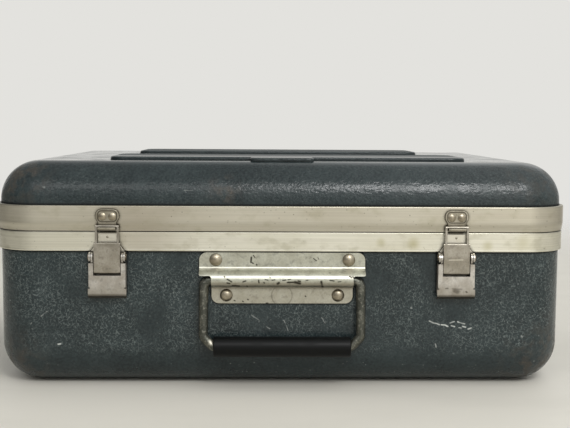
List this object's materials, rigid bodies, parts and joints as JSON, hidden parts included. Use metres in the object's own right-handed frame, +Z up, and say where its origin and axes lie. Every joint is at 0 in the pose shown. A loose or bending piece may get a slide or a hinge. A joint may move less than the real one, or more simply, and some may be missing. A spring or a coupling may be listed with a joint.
{
  "type": "computer carrying case",
  "caption": "Hard-shell carrying case with aluminium-banded tray and lid, rear hinges, front draw latches, a drop bail handle and a foam-lined inside.",
  "frame": {"origin": "centre of the flat underside", "axes": "+X runs along the front, to the right as the case is faced; +Y points from the front with the latches to the rear with the hinges; +Z is up"},
  "size_m": [0.501, 0.4008, 0.1974],
  "materials": {
    "moulded_shell": "satin",
    "aluminium_band": "satin",
    "pressed_plate": "satin",
    "latch_steel": "satin",
    "rivet_steel": "satin",
    "hinge_steel": "satin",
    "bail_steel": "satin",
    "grip_plastic": "satin",
    "foam": "matte"
  },
  "bodies": {
    "base": {"base_shell": "moulded_shell", "base_band": "aluminium_band", "base_foam": "foam", "handle_plate": "pressed_plate", "handle_rivets": "rivet_steel", "handle_washers": "rivet_steel", "hinge_base_leaf_left": "hinge_steel", "hinge_base_rivets_left": "rivet_steel", "hinge_pin_left": "rivet_steel", "latch_base_left": "latch_steel", "latch_base_rivets_left": "rivet_steel", "latch_tongue_rivet_left": "rivet_steel", "latch_pivots_left": "rivet_steel", "hinge_base_leaf_right": "hinge_steel", "hinge_base_rivets_right": "rivet_steel", "hinge_pin_right": "rivet_steel", "latch_base_right": "latch_steel", "latch_base_rivets_right": "rivet_steel", "latch_tongue_rivet_right": "rivet_steel", "latch_pivots_right": "rivet_steel"},
    "lid": {"lid_shell": "moulded_shell", "lid_band": "aluminium_band", "lid_foam": "foam", "hinge_lid_leaf_left": "hinge_steel", "hinge_lid_rivets_left": "rivet_steel", "latch_strike_left": "latch_steel", "latch_strike_rivets_left": "rivet_steel", "hinge_lid_leaf_right": "hinge_steel", "hinge_lid_rivets_right": "rivet_steel", "latch_strike_right": "latch_steel", "latch_strike_rivets_right": "rivet_steel"},
    "lever_left": {"latch_lever_left": "latch_steel", "latch_link_pin_left": "rivet_steel"},
    "lever_right": {"latch_lever_right": "latch_steel", "latch_link_pin_right": "rivet_steel"},
    "link_left": {"latch_link_left": "latch_steel"},
    "link_right": {"latch_link_right": "latch_steel"},
    "bail": {"handle_bail": "bail_steel", "handle_grip": "grip_plastic"}
  },
  "joints": [
    {"name": "lid_hinge", "type": "hinge", "parent": "base", "child": "lid", "pos_m": [0, 0.1916, 0.1355], "axis": [-1, 0, 0], "range_deg": [0, 100]},
    {"name": "bail_hinge", "type": "hinge", "parent": "base", "child": "bail", "pos_m": [0, -0.1893, 0.0939], "axis": [-1, 0, 0], "range_deg": [0, 90]},
    {"name": "lever_left_hinge", "type": "hinge", "parent": "base", "child": "lever_left", "pos_m": [-0.1485, -0.1912, 0.114], "axis": [-1, 0, 0], "range_deg": [0, 90]},
    {"name": "link_left_hinge", "type": "hinge", "parent": "lever_left", "child": "link_left", "pos_m": [-0.1485, -0.1902, 0.1022], "axis": [-1, 0, 0], "range_deg": [-72, 0]},
    {"name": "lever_right_hinge", "type": "hinge", "parent": "base", "child": "lever_right", "pos_m": [0.1485, -0.1912, 0.114], "axis": [-1, 0, 0], "range_deg": [0, 90]},
    {"name": "link_right_hinge", "type": "hinge", "parent": "lever_right", "child": "link_right", "pos_m": [0.1485, -0.1902, 0.1022], "axis": [-1, 0, 0], "range_deg": [-72, 0]}
  ],
  "couplings": [
    {"joint": "link_left_hinge", "follows": "lever_left_hinge", "ratio": -0.8},
    {"joint": "link_right_hinge", "follows": "lever_right_hinge", "ratio": -0.8}
  ]
}
